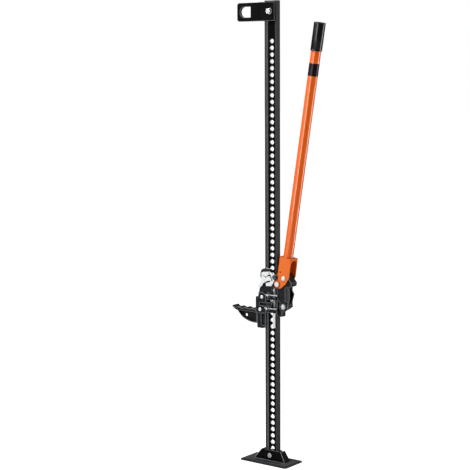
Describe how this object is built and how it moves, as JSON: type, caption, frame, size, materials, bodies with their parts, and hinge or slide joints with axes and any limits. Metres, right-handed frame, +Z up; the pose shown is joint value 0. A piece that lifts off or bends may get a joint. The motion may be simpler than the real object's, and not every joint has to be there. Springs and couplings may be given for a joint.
{
  "type": "high lift jack",
  "caption": "Tall jack with a pierced bar on a foot plate, a toothed lifting nose on a climbing carriage, a long tube handle and a clamp at the top.",
  "frame": {"origin": "middle of the foot plate's underside, under the bar's axis", "axes": "+Z up along the bar, +X towards the handle, -Y to the front, where the climbing pins stand out"},
  "size_m": [0.3653, 0.104, 1.541],
  "materials": {
    "bar_paint": "satin",
    "cast_black": "satin",
    "zinc": "satin",
    "orange_paint": "gloss",
    "grip_rubber": "matte",
    "band_film": "satin"
  },
  "bodies": {
    "foot_and_bar": {"standard_bar": "bar_paint", "foot_plate": "bar_paint", "foot_socket": "bar_paint", "foot_bolt": "zinc", "foot_nut": "zinc", "clamp_plate_front": "bar_paint", "clamp_plate_rear": "bar_paint", "clamp_bolt": "zinc", "clamp_nut": "zinc", "clamp_washers": "zinc"},
    "carriage": {"large_runner": "cast_black", "lifting_nose": "cast_black", "nose_pins": "zinc", "trip_rail": "zinc", "rail_rivets": "zinc", "handle_pivot_bolt": "zinc", "handle_pivot_nut": "zinc", "lever_screw": "zinc", "pin_spring_upper": "zinc"},
    "upper_pin": {"climbing_pin_upper": "zinc", "cross_pin_upper": "zinc"},
    "small_carriage": {"small_runner": "cast_black", "pin_spring_lower": "zinc"},
    "lower_pin": {"climbing_pin_lower": "zinc", "cross_pin_lower": "zinc"},
    "handle": {"handle_socket": "orange_paint", "handle_tube": "orange_paint", "handle_grip": "grip_rubber", "handle_band": "band_film", "link_upper_pin": "zinc", "link_upper_clips": "zinc"},
    "link": {"link": "cast_black", "link_lower_pin": "zinc", "link_lower_clips": "zinc"},
    "lever": {"reversing_lever": "zinc"}
  },
  "joints": [
    {"name": "carriage_lift", "type": "slide", "parent": "foot_and_bar", "child": "carriage", "axis": [0, 0, 1], "range_m": [-0.396, 0.792]},
    {"name": "handle_swing", "type": "hinge", "parent": "carriage", "child": "handle", "pos_m": [0.0335, 0, 0.6125], "axis": [0, 1, 0], "range_deg": [0, 85]},
    {"name": "small_runner_slide", "type": "slide", "parent": "carriage", "child": "small_carriage", "axis": [0, 0, 1], "range_m": [-0.0441, 0.0001]},
    {"name": "link_hinge", "type": "hinge", "parent": "handle", "child": "link", "pos_m": [0.05864, 0, 0.63325], "axis": [0, 1, 0], "range_deg": [-85, 0]},
    {"name": "upper_pin_slide", "type": "slide", "parent": "carriage", "child": "upper_pin", "axis": [0, -1, 0], "range_m": [0, 0.006], "stiffness_N_per_m": 600, "springref_m": -0.003, "deforming": ["pin_spring_upper"]},
    {"name": "lower_pin_slide", "type": "slide", "parent": "small_carriage", "child": "lower_pin", "axis": [0, 1, 0], "range_m": [0, 0.006], "deforming": ["pin_spring_lower"]},
    {"name": "lever_flip", "type": "hinge", "parent": "carriage", "child": "lever", "pos_m": [0.025, 0, 0.635], "axis": [0, 1, 0], "range_deg": [0, 15]}
  ],
  "couplings": [
    {"joint": "small_runner_slide", "follows": "handle_swing", "m_per_rad": -0.029659},
    {"joint": "link_hinge", "follows": "handle_swing", "ratio": -1}
  ]
}
